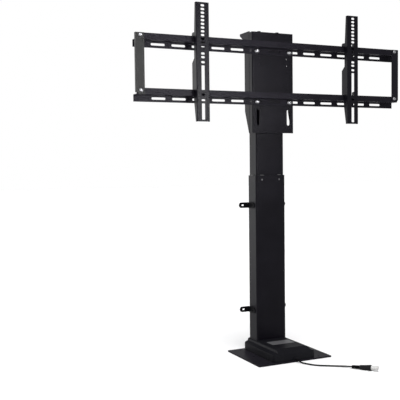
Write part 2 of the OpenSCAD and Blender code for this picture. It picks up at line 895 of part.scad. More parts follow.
// Round tube swept along a path whose first and last directions are given
module swept_tube(path, r, first, last) {
    n = len(path);
    rings = [for (i = [0 : n - 1])
        let (t = i == 0 ? first : i == n - 1 ? last : unit(path[i + 1] - path[i - 1]),
            side = unit(cross(t, [0, 0, 1])), up = cross(side, t))
        [for (k = [0 : cord_sides - 1]) let (a = 360 * k / cord_sides)
            path[i] + r * (cos(a) * side + sin(a) * up)]];
    points = [for (ring = rings) each ring];
    walls = [for (i = [0 : n - 2], k = [0 : cord_sides - 1])
        let (a = i * cord_sides + k, b = i * cord_sides + (k + 1) % cord_sides,
            c = a + cord_sides, d = b + cord_sides)
        each [[a, c, b], [b, c, d]]];
    start_cap = [for (k = [1 : cord_sides - 2]) [0, k, k + 1]];
    end_at = (n - 1) * cord_sides;
    end_cap = [for (k = [1 : cord_sides - 2]) [end_at, end_at + k + 1, end_at + k]];
    polyhedron(points, concat(walls, start_cap, end_cap));
}

module inner_lead() color(black) swept_tube(smooth_path(inner_route), cord_r, [0, -1, 0], [0, -1, 0]);
module motor_lead() color(black) swept_tube(smooth_path(route), cord_r, [0, -1, 0], plug_dir);

// Place a piece on the plug's axis, at a distance from the lead's end
module on_plug(at) translate(plug_from + at * plug_dir) rotate([0, 90 - plug_tilt, plug_heading]) children();

module plug_boot() {
    color(black) on_plug(0) cylinder(r1 = boot_mouth_r, r2 = boot_r, h = boot_len);
}

module plug_body() {
    color(black) on_plug(boot_len) cylinder(r1 = plug_neck_r, r2 = plug_end_r, h = plug_len);
}

module plug_housing() {
    color(nylon) on_plug(boot_len + plug_len) difference() {
        cylinder(r = tip_r, h = tip_len);
        translate([0, 0, tip_wall]) cylinder(r = tip_r - tip_wall, h = tip_len);
    }
}

module plug_contacts() {
    color(brass) on_plug(boot_len + plug_len + tip_wall)
        for (sx = [-1, 1], sy = [-1, 1])
            translate([sx * pin_x, sy * pin_x, 0]) cylinder(r = pin_r, h = pin_len);
}

// Lug at height z; side is -1 for the left one
module lug(side, z) {
    color(black) difference() {
        translate([0, 0, z - lug_h / 2]) mirror([side < 0 ? 1 : 0, 0, 0]) intersection() {
            linear_extrude(lug_h) {
                translate([col_w / 2, col_rear + lug_t - lug_leg]) square([lug_t, lug_leg]);
                translate([col_w / 2, col_rear]) square([lug_reach, lug_t]);
            }
            union() {
                translate([0, 0, lug_h / 2]) along_y(plate_d + 2 * lug_leg) lug_face();
                translate([col_w / 2 - cut, 0, lug_h / 2]) along_leg();
            }
        }
        translate([side * (col_w / 2 + lug_reach - lug_slot_in), col_rear + lug_t / 2, z])
            along_y(lug_t + 2 * cut) slot_2d(lug_slot_len, 2 * lug_slot_r);
        translate([side * (col_w / 2 - cut), col_y, z])
            rotate([0, 90 * side, 0]) cylinder(r = lug_screw_r + hole_play, h = lug_t + 2 * cut);
    }
}

// Outline of the lug's wing, with its round tip
module lug_face() {
    translate([col_w / 2 + lug_t, -lug_h / 2]) square([lug_reach - lug_t - lug_h / 2, lug_h]);
    translate([col_w / 2 + lug_reach - lug_h / 2, 0]) circle(lug_h / 2);
}

// Outline of the lug's leg, with its round front end
module along_leg() {
    translate([(lug_t + 2 * cut) / 2, 0, 0]) along_x(lug_t + 2 * cut) {
        translate([col_rear + lug_t - lug_leg + lug_h / 2, -lug_h / 2]) square([lug_leg - lug_h / 2, lug_h]);
        translate([col_rear + lug_t - lug_leg + lug_h / 2, 0]) circle(lug_h / 2);
    }
}

module lug_upper_left() lug(-1, lug_high_z);
module lug_upper_right() lug(1, lug_high_z);
module lug_lower_left() lug(-1, lug_low_z);
module lug_lower_right() lug(1, lug_low_z);

module lug_screws() {
    color(grey) for (sx = [-1, 1], z = [lug_low_z, lug_high_z])
        translate([sx * (col_w / 2 + lug_t), col_y, z]) rotate([0, 90 * sx, 0]) {
            dome_head(lug_head_r, lug_head_h);
            translate([0, 0, -lug_t - col_wall]) cylinder(r = lug_screw_r, h = lug_t + col_wall + cut);
        }
}

// Glides
module face_glides() {
    color(nylon) for (sy = [-1, 1], sx = [-1, 1])
        translate([sx * glide_x, col_y, 0]) mirror([0, sy < 0 ? 1 : 0, 0]) difference() {
            union() {
                translate([-glide_w / 2, inner_d / 2 + slip, glide_z]) cube([glide_w, face_pad_t, glide_h]);
                translate([-glide_lip_w / 2, inner_d / 2 + slip, col_top])
                    cube([glide_lip_w, face_pad_t + col_wall, glide_lip_h]);
            }
            translate([0, col_d / 2 - col_wall - face_pad_t / 2, glide_screw_z])
                bar_y(glide_screw_r + hole_play, face_pad_t);
        }
}

module side_glides() {
    color(nylon) for (sx = [-1, 1]) translate([0, col_y, 0]) mirror([sx < 0 ? 1 : 0, 0, 0]) {
        translate([inner_w / 2 + slip, -glide_w / 2, glide_z]) cube([side_pad_t, glide_w, glide_h]);
        translate([inner_w / 2 + slip, -glide_lip_w / 2, col_top])
            cube([side_pad_t + col_wall, glide_lip_w, glide_lip_h]);
    }
}

module glide_screws() {
    color(zinc) for (sy = [-1, 1], sx = [-1, 1])
        translate([sx * glide_x, col_y + sy * col_d / 2, glide_screw_z]) rotate([-90 * sy, 0, 0]) {
            dome_head(glide_head_r, glide_head_h);
            translate([0, 0, -col_wall - face_pad_t / 2 + hole_play])
                cylinder(r = glide_screw_r, h = col_wall + face_pad_t / 2 + cut - hole_play);
        }
}

// Moving column
module inner_column() {
    color(black) difference() {
        translate([0, col_y, inner_z]) tube(inner_w, inner_d, inner_r, inner_wall, inner_top - inner_z);
        for (sy = [-1, 1])
            translate([0, col_y + sy * (inner_d / 2 - inner_wall - cut), carrier_z + carrier_h / 2])
            rotate([-90 * sy, 0, 0]) cylinder(r = carrier_head_r + hole_play, h = inner_wall + 2 * cut);
    }
}

module lower_glides() {
    color(nylon) translate([0, col_y, inner_z]) {
        for (sy = [-1, 1], sx = [-1, 1]) translate([sx * glide_x, 0, 0]) mirror([0, sy < 0 ? 1 : 0, 0])
            translate([-glide_w / 2, inner_d / 2, 0]) cube([glide_w, face_pad_t, glide_h]);
        for (sx = [-1, 1]) mirror([sx < 0 ? 1 : 0, 0, 0])
            translate([inner_w / 2, -glide_w / 2, 0]) cube([side_pad_t, glide_w, glide_h]);
    }
}

// Outline of a block that fills the inner tube
module inner_filling() {
    round_rect(inner_in_w - 2 * hole_play, inner_in_d - 2 * hole_play, max(inner_r - inner_wall, least_r));
}

module nut_carrier() {
    color(grey) difference() {
        translate([0, col_y, carrier_z]) linear_extrude(carrier_h)
            inner_filling();
        translate([0, col_y, carrier_z - cut]) cylinder(r = nut_r + hole_play, h = carrier_h + 2 * cut);
        for (a = nut_screw_turns) translate([0, col_y, carrier_z - cut]) rotate(a)
            translate([nut_screw_pcd, 0, 0]) cylinder(r = nut_screw_r + hole_play, h = carrier_tap + cut);
        for (sy = [-1, 1]) translate([0, col_y + sy * inner_in_d / 2, carrier_z + carrier_h / 2])
            rotate([90 * sy, 0, 0]) translate([0, 0, -cut])
                cylinder(r = carrier_screw_r + hole_play, h = carrier_screw_len + cut);
    }
}

module drive_nut() {
    color(brass) translate([0, col_y, carrier_z - nut_flange_t]) difference() {
        union() {
            cylinder(r = nut_flange_r, h = nut_flange_t);
            cylinder(r = nut_r, h = nut_flange_t + carrier_h + nut_up);
        }
        translate([0, 0, -cut]) cylinder(r = screw_r + slip, h = nut_flange_t + carrier_h + nut_up + 2 * cut);
        for (a = nut_screw_turns) rotate(a) translate([nut_screw_pcd, 0, -cut])
            cylinder(r = nut_screw_r + hole_play, h = nut_flange_t + 2 * cut);
    }
}

module nut_screws() {
    color(zinc) for (a = nut_screw_turns) translate([0, col_y, carrier_z - nut_flange_t]) rotate(a)
        translate([nut_screw_pcd, 0, 0]) {
            translate([0, 0, -nut_screw_head_h]) cylinder(r = nut_screw_head_r, h = nut_screw_head_h);
            cylinder(r = nut_screw_r, h = nut_flange_t + carrier_tap - cut);
        }
}

module carrier_screws() {
    color(zinc) for (sy = [-1, 1]) translate([0, col_y + sy * inner_d / 2, carrier_z + carrier_h / 2])
        rotate([90 * sy, 0, 0]) {
            cylinder(r = carrier_head_r, h = inner_wall);
            cylinder(r = carrier_screw_r, h = inner_wall + carrier_screw_len - cut);
        }
}

module column_cap() {
    color(grey) difference() {
        translate([0, col_y, inner_top - cap_h]) linear_extrude(cap_h)
            inner_filling();
        head_bolt_holes(inner_top - head_bolt_len - slip, head_bolt_len + cut);
    }
}

module head_bolt_holes(z, len) {
    for (sx = [-1, 1], sy = [-1, 1]) translate([sx * head_bolt_x, col_y + sy * head_bolt_y, z])
        cylinder(r = head_bolt_r + hole_play, h = len);
}

// Head bracket: folded front with two wings, closed at the top by a plate
module wing_room(depth, cut_d) {
    far = top_rear + cut;
    edge = head_y + depth;
    polygon([[edge, head_top - ear_h], [top_rear, head_top - ear_drop], [far, head_top - ear_drop],
        [far, head_z - cut], [edge - cut_d, head_z - cut], [edge - cut_d, head_z],
        [edge, head_z + wing_cut_h]]);
}

module head_shell() {
    depth = top_rear - head_y;
    translate([0, head_y, head_z]) {
        linear_extrude(head_h) difference() {
            translate([0, depth / 2 + head_bend_r]) round_rect(head_w, depth + 2 * head_bend_r, head_bend_r);
            translate([0, depth / 2 + head_bend_r + head_t])
                round_rect(head_w - 2 * head_t, depth + 2 * head_bend_r, head_bend_r - head_t);
            translate([0, depth + head_w / 2]) square(head_w + 2 * cut, center = true);
        }
        translate([0, 0, head_h - head_t]) linear_extrude(head_t) intersection() {
            translate([0, depth / 2 + head_bend_r]) round_rect(head_w, depth + 2 * head_bend_r, head_bend_r);
            translate([-head_w / 2, 0]) square([head_w, depth]);
        }
        for (sx = [-1, 1]) translate([sx * (head_w - head_t) / 2 - head_t / 2, ear_from, head_h - head_t])
            cube([head_t, depth - ear_from, head_t + ear_rise]);
    }
}

module head_bracket() {
    color(black) difference() {
        head_shell();
        translate([-(head_w - head_t) / 2, 0, 0])
            along_x(head_t + 2 * cut) wing_room(left_wing_d, left_cut_d);
        translate([(head_w - head_t) / 2, 0, 0])
            along_x(head_t + 2 * cut) wing_room(right_wing_d, right_cut_d);
        translate([-head_w / 2 - cut, head_y + bead_y, head_z - cut])
            cube([bead_t + cut, bead_w, head_h - head_t]);
        for (sx = [-1, 1]) {
            translate([sx * cable_slot_x, head_y + head_t / 2, head_z + cable_slot_rise + cable_slot_len / 2])
                along_y(head_t + 2 * cut) rotate(90) slot_2d(cable_slot_len, cable_slot_w);
            for (k = [0, 1]) translate([sx * probe_x, head_y - cut, head_top - probe_drop - k * probe_pitch])
                bar_y(probe_hole_r, head_t + 2 * cut);
        }
        for (p = rail_bolt_places()) translate([p[0], head_y - cut, p[1]])
            bar_y(rail_bolt_r + hole_play, head_t + 2 * cut);
        head_bolt_holes(inner_top - cut, head_t + 2 * cut);
    }
}

module head_bolts() {
    grip = head_t + head_bolt_len;
    color(zinc) for (sx = [-1, 1], sy = [-1, 1])
        translate([sx * head_bolt_x, col_y + sy * head_bolt_y, head_top]) {
            cylinder(r = washer_r, h = washer_t);
            translate([0, 0, washer_t]) cylinder(r = hex_r, h = hex_h, $fn = 6);
            translate([0, 0, -grip]) cylinder(r = head_bolt_r, h = grip + cut);
        }
}

// Rails
function slot_z(top) = top - rail_h + slot_rise;
function rail_bolt_places() = [
    for (sx = [-1, 1], top = [rail_top_low, rail_top_high]) [sx * rail_bolt_x, slot_z(top)]];

module rail_section() {
    web = -lip_h;
    difference() {
        union() {
            translate([lip_y, web]) square([rail_t, lip_h]);
            translate([lip_y, web]) square([rail_step + rail_t, rail_t]);
            translate([rail_back - rail_t, -rail_h]) square([rail_t, flange_h + rail_t]);
        }
        translate([lip_y, web]) corner_off(rail_bend_r - rail_t / 2);
        translate([rail_back, web + rail_t]) rotate(180) corner_off(rail_bend_r - rail_t / 2);
    }
}

module rail(top) {
    color(black) difference() {
        translate([0, 0, top]) along_x(rail_len) rail_section();
        for (i = [-slots_a_side : slots_a_side])
            translate([slot_shift + i * slot_pitch, rail_back - rail_t / 2, slot_z(top)])
                along_y(rail_t + 2 * cut) slot_2d(slot_len, slot_h);
        for (sx = [-1, 1]) translate([sx * strap_screw_x, lip_y - cut, top - strap_screw_drop])
            bar_y(strap_screw_r + hole_play, rail_t + 2 * cut);
        translate([0, lip_y - cut, top - lip_h / 2]) bar_y(probe_hole_r, rail_t + 2 * cut);
    }
}

module upper_rail() rail(rail_top_high);
module lower_rail() rail(rail_top_low);

module rail_bolts() {
    seat = rail_back - rail_t;
    color(zinc) for (p = rail_bolt_places()) translate([p[0], seat, p[1]]) {
        rotate([90, 0, 0]) cylinder(r = rail_bolt_flange_r, h = rail_bolt_flange_t);
        translate([0, -rail_bolt_flange_t, 0]) rotate([90, 0, 0])
            dome_head(rail_bolt_head_r, rail_bolt_head_h);
        translate([0, -cut, 0]) bar_y(rail_bolt_r, rail_t + head_t + rail_nut_h + 2 * cut);
    }
}

module rail_nuts() {
    color(zinc) for (p = rail_bolt_places()) translate([p[0], head_y + head_t, p[1]]) difference() {
        rotate([-90, 0, 0]) cylinder(r = hex_r, h = rail_nut_h, $fn = 6);
        translate([0, -cut, 0]) bar_y(rail_bolt_r + hole_play, rail_nut_h + 2 * cut);
    }
}

// End strap over the ends of both rails; side is -1 for the left one
module end_strap(side) {
    height = rail_top_high - strap_z;
    color(grey) mirror([side < 0 ? 1 : 0, 0, 0]) difference() {
        union() {
            translate([strap_end - strap_w, strap_y, strap_z]) cube([strap_w, strap_t, height]);
            translate([strap_end - strap_t, strap_y, strap_z]) cube([strap_t, strap_return, height]);
        }
        translate([strap_end, 0, strap_z]) along_y(plate_d)
            polygon([[-strap_cut, 0], [-strap_cut, -cut], [cut, -cut], [cut, strap_cut], [0, strap_cut]]);
        for (top = [rail_top_low, rail_top_high])
            translate([strap_screw_x, strap_y - cut, top - strap_screw_drop])
                bar_y(strap_screw_r + hole_play, strap_t + 2 * cut);
    }
}

module end_strap_left() end_strap(-1);
module end_strap_right() end_strap(1);

module strap_screws() {
    color(zinc) for (sx = [-1, 1], top = [rail_top_low, rail_top_high])
        translate([sx * strap_screw_x, strap_y, top - strap_screw_drop]) {
            rotate([90, 0, 0]) dome_head(strap_head_r, strap_head_h);
            translate([0, -cut, 0]) bar_y(strap_screw_r, strap_t + rail_t + strap_nut_h + 2 * cut);
        }
}

module strap_nuts() {
    color(zinc) for (sx = [-1, 1], top = [rail_top_low, rail_top_high])
        translate([sx * strap_screw_x, lip_y + rail_t, top - strap_screw_drop]) difference() {
            rotate([-90, 0, 0]) cylinder(r = strap_nut_r, h = strap_nut_h, $fn = 6);
            translate([0, -cut, 0]) bar_y(strap_screw_r + hole_play, strap_nut_h + 2 * cut);
        }
}

// Arm: a folded channel whose sides hook over the lips of both rails
module arm_side() {
    lip = lip_y - hook_play;
    behind = lip_y + rail_t + hook_play;
    far = behind + hook_w;
    mid = arm_y + arm_mid_d;
    high = rail_top_high;
    low = rail_top_low;
    polygon([[arm_y, arm_top], [arm_y + arm_end_d, arm_top], [mid - hook_step, high + hook_rise],
        [far - hook_chamfer, high + hook_rise], [far, high + hook_rise - hook_chamfer],
        [far, high - hook_drop],
        [behind, high - hook_drop], [behind, high + slip], [lip, high + slip], [lip, high - hook_drop],
        [mid, high - hook_drop - hook_relief], [mid, low + shoulder_rise],
        [far, low + shoulder_fall], [far, low - hook_drop], [behind, low - hook_drop], [behind, low + cut],
        [lip, low + cut], [lip, low - lip_h], [mid + low_step, low - lip_h - flange_h - low_drop],
        [arm_y + arm_end_d, arm_z], [arm_y, arm_z]]);
}

module arm_channel() {
    depth = arm_depth();
    translate([0, arm_y, arm_z]) linear_extrude(arm_h) difference() {
        translate([0, depth / 2 + arm_bend_r]) round_rect(arm_w, depth + 2 * arm_bend_r, arm_bend_r);
        translate([0, depth / 2 + arm_bend_r + arm_t])
            round_rect(arm_w - 2 * arm_t, depth + 2 * arm_bend_r, arm_bend_r - arm_t);
        translate([0, depth + arm_w / 2]) square(arm_w + 2 * cut, center = true);
    }
}

// What is cut off the right side between its two hooks
module side_relief() {
    slim = arm_y + arm_mid_d - slim_step;
    far = arm_y + arm_depth() + cut;
    high = rail_top_high - hook_drop - hook_relief;
    low = rail_top_low + hook_rise;
    polygon([[slim, high], [far, high], [far, low], [slim, low + hook_relief]]);
}

function arm_depth() = arm_standoff + rail_t + hook_play + hook_w + cut;

// Screen bolt slots from the top down: a row, one more, a long slot, two holes and a foot slot
module arm_slots() {
    row_end = bolt_slot_top + (bolt_slots - 1) * bolt_slot_pitch;
    single = row_end + last_slot_gap;
    long_top = single + long_slot_gap;
    lock_top = long_top + long_slot_len + lock_hole_gap;
    foot_top = lock_top + lock_hole_pitch + foot_slot_gap;
    foot_slot_len = arm_h - foot_top - foot_slot_end;
    drops = concat([for (i = [0 : bolt_slots - 1]) bolt_slot_top + i * bolt_slot_pitch],
        [single, lock_top, lock_top + lock_hole_pitch]);
    for (d = drops) translate([0, -d]) slot_2d(bolt_slot_w, bolt_slot_h);
    for (s = [[long_top, long_slot_len], [foot_top, foot_slot_len]])
        translate([0, -s[0] - s[1] / 2]) round_rect(long_slot_w, s[1], long_slot_r);
}

module arm(x) {
    color(black) translate([x, 0, 0]) difference() {
        intersection() {
            arm_channel();
            along_x(arm_w + 2 * cut) arm_side();
        }
        translate([arm_w / 2, 0, 0]) along_x(2 * (arm_t + cut)) side_relief();
        translate([0, arm_y + arm_t / 2, arm_top]) along_y(arm_t + 2 * cut) arm_slots();
    }
}

module arm_left() arm(-arm_x);
module arm_right() arm(arm_x);

base_plate();
motor_cover();
rating_plate();
cover_screws();
outer_column();
foot_angle_left();
foot_angle_right();
foot_bolts();
foot_screws();
gear_case();
gear_case_lid();
case_screws();
lower_bearing();
upper_bearing();
worm_bushes();
motor();
motor_end_cap();
motor_saddle();
saddle_screws();
lead_gland();
inner_lead();
motor_lead();
plug_boot();
plug_body();
plug_housing();
plug_contacts();
lug_upper_left();
lug_upper_right();
lug_lower_left();
lug_lower_right();
lug_screws();
face_glides();
side_glides();
glide_screws();
lead_screw();
worm_wheel();
screw_stop();
worm_shaft();
inner_column();
lower_glides();
nut_carrier();
drive_nut();
nut_screws();
carrier_screws();
column_cap();
head_bracket();
head_bolts();
upper_rail();
lower_rail();
rail_bolts();
rail_nuts();
end_strap_left();
end_strap_right();
strap_screws();
strap_nuts();
arm_left();
arm_right();
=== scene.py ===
import json
import math

import bmesh
import bpy
from mathutils import Matrix, Vector

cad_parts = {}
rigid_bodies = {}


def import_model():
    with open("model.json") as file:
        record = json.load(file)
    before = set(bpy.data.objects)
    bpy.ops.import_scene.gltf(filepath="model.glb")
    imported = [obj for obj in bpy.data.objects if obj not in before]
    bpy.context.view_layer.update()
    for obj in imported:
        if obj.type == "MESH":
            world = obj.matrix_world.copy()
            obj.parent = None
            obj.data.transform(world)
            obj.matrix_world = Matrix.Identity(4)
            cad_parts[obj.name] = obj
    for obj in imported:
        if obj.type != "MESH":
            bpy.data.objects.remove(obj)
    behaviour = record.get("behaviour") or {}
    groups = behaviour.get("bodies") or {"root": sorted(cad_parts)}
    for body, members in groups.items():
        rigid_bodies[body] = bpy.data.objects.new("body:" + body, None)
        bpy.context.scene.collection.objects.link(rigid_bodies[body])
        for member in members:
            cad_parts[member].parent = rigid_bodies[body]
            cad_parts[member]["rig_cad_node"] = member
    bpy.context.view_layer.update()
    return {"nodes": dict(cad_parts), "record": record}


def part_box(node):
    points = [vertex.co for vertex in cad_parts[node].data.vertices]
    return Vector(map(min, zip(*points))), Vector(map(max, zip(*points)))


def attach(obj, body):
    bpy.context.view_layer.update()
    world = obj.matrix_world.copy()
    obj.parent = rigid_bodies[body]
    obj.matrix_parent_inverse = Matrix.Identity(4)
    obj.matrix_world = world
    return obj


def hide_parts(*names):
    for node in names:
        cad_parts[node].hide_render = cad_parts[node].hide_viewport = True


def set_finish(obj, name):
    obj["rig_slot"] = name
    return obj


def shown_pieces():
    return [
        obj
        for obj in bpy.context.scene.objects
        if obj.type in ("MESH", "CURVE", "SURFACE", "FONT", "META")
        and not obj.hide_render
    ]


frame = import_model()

scene = bpy.context.scene
nodes = frame["nodes"]
perMetre = 1000  # the shapes below are in millimetres, the camera and the studio in metres
print("stage: frame loaded,", len(nodes), "nodes")

shot = {
    "place": (-1.4554, -2.4281, 0.7494), "yaw": 24.79, "pitch": -2.79, "roll": -0.68,
    "lens": 65.0, "sensor": 36.0, "farthest": 60.0,
}


def makeCamera(spec):
    yaw, pitch, roll = (math.radians(spec[k]) for k in ("yaw", "pitch", "roll"))
    level = Vector((math.sin(yaw), math.cos(yaw), 0.0))
    side = Vector((math.cos(yaw), -math.sin(yaw), 0.0))
    rise = Vector((0.0, 0.0, 1.0))
    ahead = level * math.cos(pitch) + rise * math.sin(pitch)
    over = rise * math.cos(pitch) - level * math.sin(pitch)
    right = side * math.cos(roll) + over * math.sin(roll)
    up = over * math.cos(roll) - side * math.sin(roll)
    data = bpy.data.cameras.new("photoCamera")
    data.lens = spec["lens"]
    data.sensor_width = spec["sensor"]
    data.clip_end = spec["farthest"]
    camera = bpy.data.objects.new("photoCamera", data)
    turn = Matrix((right, up, -ahead)).transposed().to_4x4()
    camera.matrix_world = Matrix.Translation(spec["place"]) @ turn
    scene.collection.objects.link(camera)
    scene.camera = camera


makeCamera(shot)
print("stage: camera")

crispAngle = 35.0  # edges that bend by more degrees than this stay crisp


# Turned pieces: a profile is a list of (radius, height), with "hex" added where the ring is six-sided
def hexRadius(r, angle):
    sixth = math.pi / 3
    return r * math.cos(sixth / 2) / math.cos((angle % sixth) - sixth / 2)


def latheRings(bm, profile, sides, matrix):
    rings = []
    for r, z, *form in profile:
        if r == 0:
            rings.append([bm.verts.new(matrix @ Vector((0, 0, z / perMetre)))])
            continue
        ring = []
        for k in range(sides):
            a = 2 * math.pi * k / sides
            reach = (hexRadius(r, a) if form else r) / perMetre
            point = Vector((reach * math.cos(a), reach * math.sin(a), z / perMetre))
            ring.append(bm.verts.new(matrix @ point))
        rings.append(ring)
    for low, high in zip(rings, rings[1:]):
        for k in range(sides):
            n = (k + 1) % sides
            if len(low) == 1:
                bm.faces.new((low[0], high[n], high[k]))
            elif len(high) == 1:
                bm.faces.new((low[k], low[n], high[0]))
            else:
                bm.faces.new((low[k], low[n], high[n], high[k]))


def finishMesh(bm, name):
    bmesh.ops.recalc_face_normals(bm, faces=bm.faces)
    mesh = bpy.data.meshes.new(name)
    bm.to_mesh(mesh)
    bm.free()
    mesh.polygons.foreach_set("use_smooth", [True] * len(mesh.polygons))
    mesh.set_sharp_from_angle(angle=math.radians(crispAngle))
    piece = bpy.data.objects.new(name, mesh)
    scene.collection.objects.link(piece)
    return piece


def lathePiece(name, profile, places, sides):
    bm = bmesh.new()
    for place in places:
        latheRings(bm, profile, sides, place)
    return finishMesh(bm, name)


def takeOver(piece, body, materialSlot, node):
    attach(piece, body)
    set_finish(piece, materialSlot)
    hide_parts(node)
    return piece


# The lead's points follow the route that the solid lead takes over the floor
lead = {
    "points": [
        (0, -126, 8.4), (0.5, -132, 8.1), (2.5, -139, 6.7), (5, -147, 4.9), (8, -155, 3.6),
        (12.5, -166, 3), (20, -181, 3), (28.5, -196, 3), (40, -209.5, 3), (54.5, -221, 3),
        (71, -232, 3), (90, -245, 3), (107.5, -257.5, 3.3), (122, -273, 4.6), (135, -292.5, 6.2),
    ],
    "diameter": 5.2, "steps": 3, "sides": 20,
}


# A smooth curve through all the points, with a few steps between each two
def smoothPath(points, steps):
    pts = [Vector(p) / perMetre for p in points]
    last = len(pts) - 1
    path = []
    for i in range(last):
        a, b, c, d = pts[max(i - 1, 0)], pts[i], pts[i + 1], pts[min(i + 2, last)]
        for k in range(steps):
            t = k / steps
            square = (2 * a - 5 * b + 4 * c - d) * t * t
            cube = (3 * b - a - 3 * c + d) * t * t * t
            path.append(0.5 * (2 * b + (c - a) * t + square + cube))
    path.append(pts[last])
    return path


def makeLead(spec):
    path = smoothPath(spec["points"], spec["steps"])
    radius = spec["diameter"] / 2 / perMetre
    sides = spec["sides"]
    turns = [2 * math.pi * k / sides for k in range(sides)]
    last = len(path) - 1
    bm = bmesh.new()
    rings = []
    for i, place in enumerate(path):
        ahead = path[min(i + 1, last)] - path[max(i - 1, 0)]
        side = ahead.cross(Vector((0, 0, 1))).normalized()
        over = side.cross(ahead).normalized()
        spokes = [side * math.cos(a) + over * math.sin(a) for a in turns]
        rings.append([bm.verts.new(place + radius * spoke) for spoke in spokes])
    for near, far in zip(rings, rings[1:]):
        for k in range(sides):
            n = (k + 1) % sides
            bm.faces.new((near[k], near[n], far[n], far[k]))
    bm.faces.new(rings[0])
    bm.faces.new(rings[-1])
    piece = takeOver(finishMesh(bm, "motorLead"), "base", "cord_black", "motor_lead")
    length = sum((b - a).length for a, b in zip(path, path[1:]))
    return piece, path, length


plugBoot = {
    "length": 29.0, "mouth": 5.6, "end": 6.4, "ribs": 7, "groove": 0.5,
    "lip": [(0.8, 0.0), (0.2, 0.5)],  # how far in from the mouth's radius, and how high
    "firstRib": 0.8, "ribless": 3.0, "collar": 2.0,
    "ribEnd": 0.55, "grooveStart": 0.63, "grooveEnd": 0.92,  # shares of a rib's pitch
}


def bootProfile(boot):
    mouth, end, length = boot["mouth"], boot["end"], boot["length"]
    pitch = (length - boot["ribless"]) / boot["ribs"]
    profile = [(0, 0.0)]
    profile += [(mouth - inset, z) for inset, z in boot["lip"]]
    for i in range(boot["ribs"]):
        z = boot["firstRib"] + i * pitch
        r = mouth + (end - mouth) * z / length
        low = r - boot["groove"]
        profile += [(r, z), (r, z + boot["ribEnd"] * pitch)]
        profile += [(low, z + boot["grooveStart"] * pitch), (low, z + boot["grooveEnd"] * pitch)]
    return profile + [(end, length - boot["collar"]), (end, length), (0, length)]


plugBody = {
    "length": 42.0, "neck": 7.9, "end": 10.3, "rings": 4, "groove": 0.3,
    "rounding": 0.8, "shoulder": 3.5, "firstRing": 4.5, "ringPitch": 4.2,
    "grooveWidth": 1.0, "ringStart": 1.5, "ringEnd": 3.7,  # measured from where a ring's groove begins
    "taperEnd": 10.0, "collar": 4.0, "rim": 0.9,  # measured back from the body's end
}


def bodyProfile(body):
    neck, end, length, rounding = body["neck"], body["end"], body["length"], body["rounding"]
    slope = (end - neck) / length
    shoulder, taperEnd = body["shoulder"], body["taperEnd"]
    profile = [(0, 0.0), (neck - rounding, 0.0), (neck, rounding), (neck + shoulder * slope, shoulder)]
    for i in range(body["rings"]):
        z = body["firstRing"] + i * body["ringPitch"]
        r = neck + slope * z
        low = r - body["groove"]
        profile += [(low, z), (low, z + body["grooveWidth"])]
        profile += [(r, z + body["ringStart"]), (r, z + body["ringEnd"])]
    profile.append((end - taperEnd * slope, length - taperEnd))
    profile += [(end, length - body["collar"]), (end, length - body["rim"])]
    return profile + [(end - rounding, length), (0, length)]


plugHousing = {
    "length": 25.0, "radius": 7.4, "wall": 1.4,
    "band": (5.0, 5.4, 6.6, 7.0), "bandDepth": 0.35,
    "outerRim": (0.5, 0.6), "innerRim": (0.3, 0.4),  # how far across, and how far down
}


def housingProfile(housing):
    r, length, wall = housing["radius"], housing["length"], housing["wall"]
    inner = r - wall
    groove = r - housing["bandDepth"]
    outerIn, outerDown = housing["outerRim"]
    innerOut, innerDown = housing["innerRim"]
    profile = [(0, 0.0), (r, 0.0)]
    profile += list(zip((r, groove, groove, r), housing["band"]))
    profile += [(r, length - outerDown), (r - outerIn, length)]
    profile += [(inner + innerOut, length), (inner, length - innerDown)]
    return profile + [(inner, wall), (0, wall)]


plug = {"heading": -52.4, "tilt": 3.5, "sides": 40}


def makePlug(spec, origin):
    heading = Matrix.Rotation(math.radians(spec["heading"]), 4, "Z")
    tilt = Matrix.Rotation(math.radians(90 - spec["tilt"]), 4, "Y")
    axis = Matrix.Translation(origin) @ heading @ tilt
    made = []
    start = 0.0
    for name, profile, length, slotName, node in (
            ("plugBoot", bootProfile(plugBoot), plugBoot["length"], "cord_black", "plug_boot"),
            ("plugBody", bodyProfile(plugBody), plugBody["length"], "plug_black", "plug_body"),
            ("plugHousing", housingProfile(plugHousing), plugHousing["length"],
             "housing_white", "plug_housing")):
        place = axis @ Matrix.Translation((0, 0, start / perMetre))
        piece = lathePiece(name, profile, [place], spec["sides"])
        made.append(takeOver(piece, "base", slotName, node))
        start += length
    return made


leadPiece, leadPath, leadLength = makeLead(lead)
plugPieces = makePlug(plug, leadPath[-1])
print("stage: lead,", round(leadLength * perMetre), "mm")

# Fasteners in fours. "corners" are the axes that tell the four apart, "out" the axis that their heads face
# and its sense (0 where they face away from the middle), "over" the head's height above its seat.
railBolt = {
    "node": "rail_bolts", "body": "lift", "slot": "zinc",
    "corners": (0, 2), "out": (1, -1), "over": 6.0,
    "shank": 4.0, "reach": 13.0, "chamfer": 0.4,
    "head": 10.0, "rim": 1.1, "flat": 3.2, "drive": 2.6, "depth": 2.7,
}
strapScrew = {
    "node": "strap_screws", "body": "lift", "slot": "zinc",
    "corners": (0, 2), "out": (1, -1), "over": 3.8,
    "shank": 3.0, "reach": 11.0, "chamfer": 0.3,
    "head": 7.6, "rim": 0.7, "flat": 3.4, "drive": 2.4, "depth": 2.2,
}
lugScrew = {
    "node": "lug_screws", "body": "base", "slot": "oxide_black",
    "corners": (0, 2), "out": (0, 0), "over": 2.4,
    "shank": 3.0, "reach": 4.5, "chamfer": 0.1,
    "head": 6.0, "rim": 0.5, "flat": 2.8, "drive": 2.1, "depth": 1.3,
}
glideScrew = {
    "node": "glide_screws", "body": "base", "slot": "dull_zinc",
    "corners": (0, 1), "out": (1, 0), "over": 2.2,
    "shank": 1.7, "reach": 2.4, "chamfer": 0.1,
    "head": 3.6, "rim": 0.5, "flat": 1.6, "drive": 1.1, "depth": 1.2,
}
